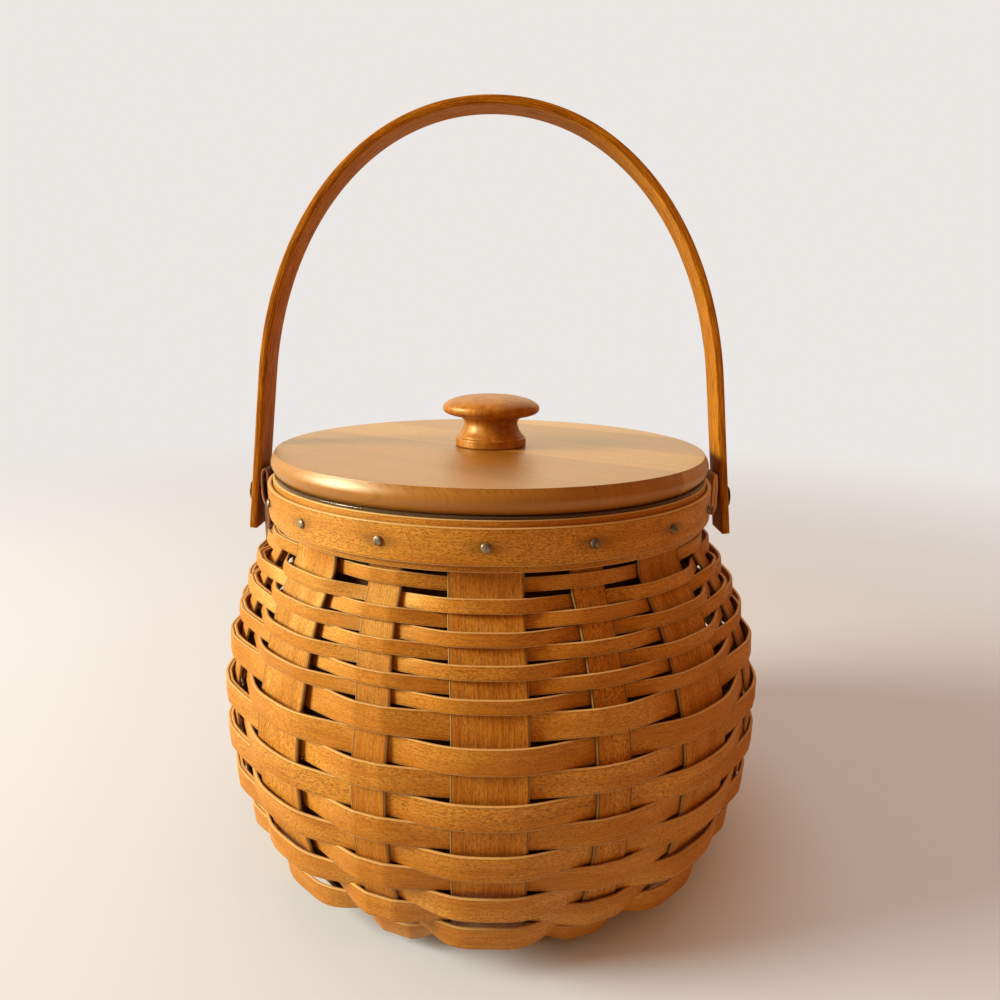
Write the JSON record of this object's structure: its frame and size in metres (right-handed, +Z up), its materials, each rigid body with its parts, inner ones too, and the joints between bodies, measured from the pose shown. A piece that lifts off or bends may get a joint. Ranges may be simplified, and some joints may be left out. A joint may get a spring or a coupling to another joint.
{
  "type": "lidded splint basket",
  "caption": "Round woven splint basket with a bulging wall, tacked rim bands, a clear liner, a turned wooden lid with a knob, and a bent wood swing handle on leather ears.",
  "frame": {"origin": "on the surface that the basket stands on, under the middle of its base", "axes": "+Z up through the knob, +X towards the right-hand leg of the handle, -Y towards the front upright that faces the viewer in the picture"},
  "size_m": [0.2304, 0.2304, 0.311],
  "materials": {
    "splint_wood": "thin maple strip with a worn satin honey stain, grain along its length",
    "weaver_wood": "thin maple strip with a satin golden honey stain, grain along its length",
    "band_wood": "bent maple band, satin golden honey stain",
    "lid_wood": "sanded glued boards with a satin clear coat, paler than the weave",
    "knob_wood": "turned wood with a satin clear coat",
    "handle_wood": "steam-bent strip, satin honey stain, grain along its length",
    "leather": "brown folded strap, dull with darker edges",
    "tack_metal": "small dull tack head, slightly tarnished",
    "rivet_metal": "dark tarnished rivet",
    "screw_steel": "plain screw, hidden under the lid",
    "clear_plastic": "clear moulded liner, glossy"
  },
  "bodies": {
    "basket": {"wide_splint_1": "splint_wood", "wide_splint_2": "splint_wood", "wide_splint_3": "splint_wood", "wide_splint_4": "splint_wood", "narrow_splint_1": "splint_wood", "narrow_splint_2": "splint_wood", "narrow_splint_3": "splint_wood", "narrow_splint_4": "splint_wood", "narrow_weaver_1": "weaver_wood", "narrow_weaver_2": "weaver_wood", "narrow_weaver_3": "weaver_wood", "narrow_weaver_4": "weaver_wood", "narrow_weaver_5": "weaver_wood", "narrow_weaver_6": "weaver_wood", "narrow_weaver_7": "weaver_wood", "narrow_weaver_8": "weaver_wood", "wide_weaver_9": "weaver_wood", "wide_weaver_10": "weaver_wood", "wide_weaver_11": "weaver_wood", "wide_weaver_12": "weaver_wood", "wide_weaver_13": "weaver_wood", "wide_weaver_14": "weaver_wood", "wide_weaver_15": "weaver_wood", "wide_weaver_16": "weaver_wood", "wide_weaver_17": "weaver_wood", "wide_weaver_18": "weaver_wood", "wide_weaver_19": "weaver_wood", "wide_weaver_20": "weaver_wood", "wide_weaver_21": "weaver_wood", "wide_weaver_22": "weaver_wood", "rim_under_band": "band_wood", "rim_outer_band": "band_wood", "rim_inner_band": "band_wood", "rim_tack_1": "tack_metal", "rim_tack_2": "tack_metal", "rim_tack_3": "tack_metal", "rim_tack_4": "tack_metal", "rim_tack_5": "tack_metal", "rim_tack_6": "tack_metal", "rim_tack_7": "tack_metal", "rim_tack_8": "tack_metal", "rim_tack_9": "tack_metal", "rim_tack_10": "tack_metal", "rim_tack_11": "tack_metal", "rim_tack_12": "tack_metal", "rim_tack_13": "tack_metal", "rim_tack_14": "tack_metal", "rim_tack_15": "tack_metal", "rim_tack_16": "tack_metal", "liner": "clear_plastic", "ear_left": "leather", "ear_right": "leather", "rivet_left": "rivet_metal", "rivet_right": "rivet_metal"},
    "lid": {"lid_board": "lid_wood", "lid_knob": "knob_wood", "knob_screw": "screw_steel"},
    "handle": {"swing_handle": "handle_wood"}
  },
  "joints": [
    {"name": "handle_swing", "type": "hinge", "parent": "basket", "child": "handle", "pos_m": [0, 0, 0.1529], "axis": [1, 0, 0], "range_deg": [-113, 113]},
    {"name": "lid_lift", "type": "slide", "parent": "basket", "child": "lid", "axis": [0, 0, 1], "range_m": [0, 0.03]}
  ]
}
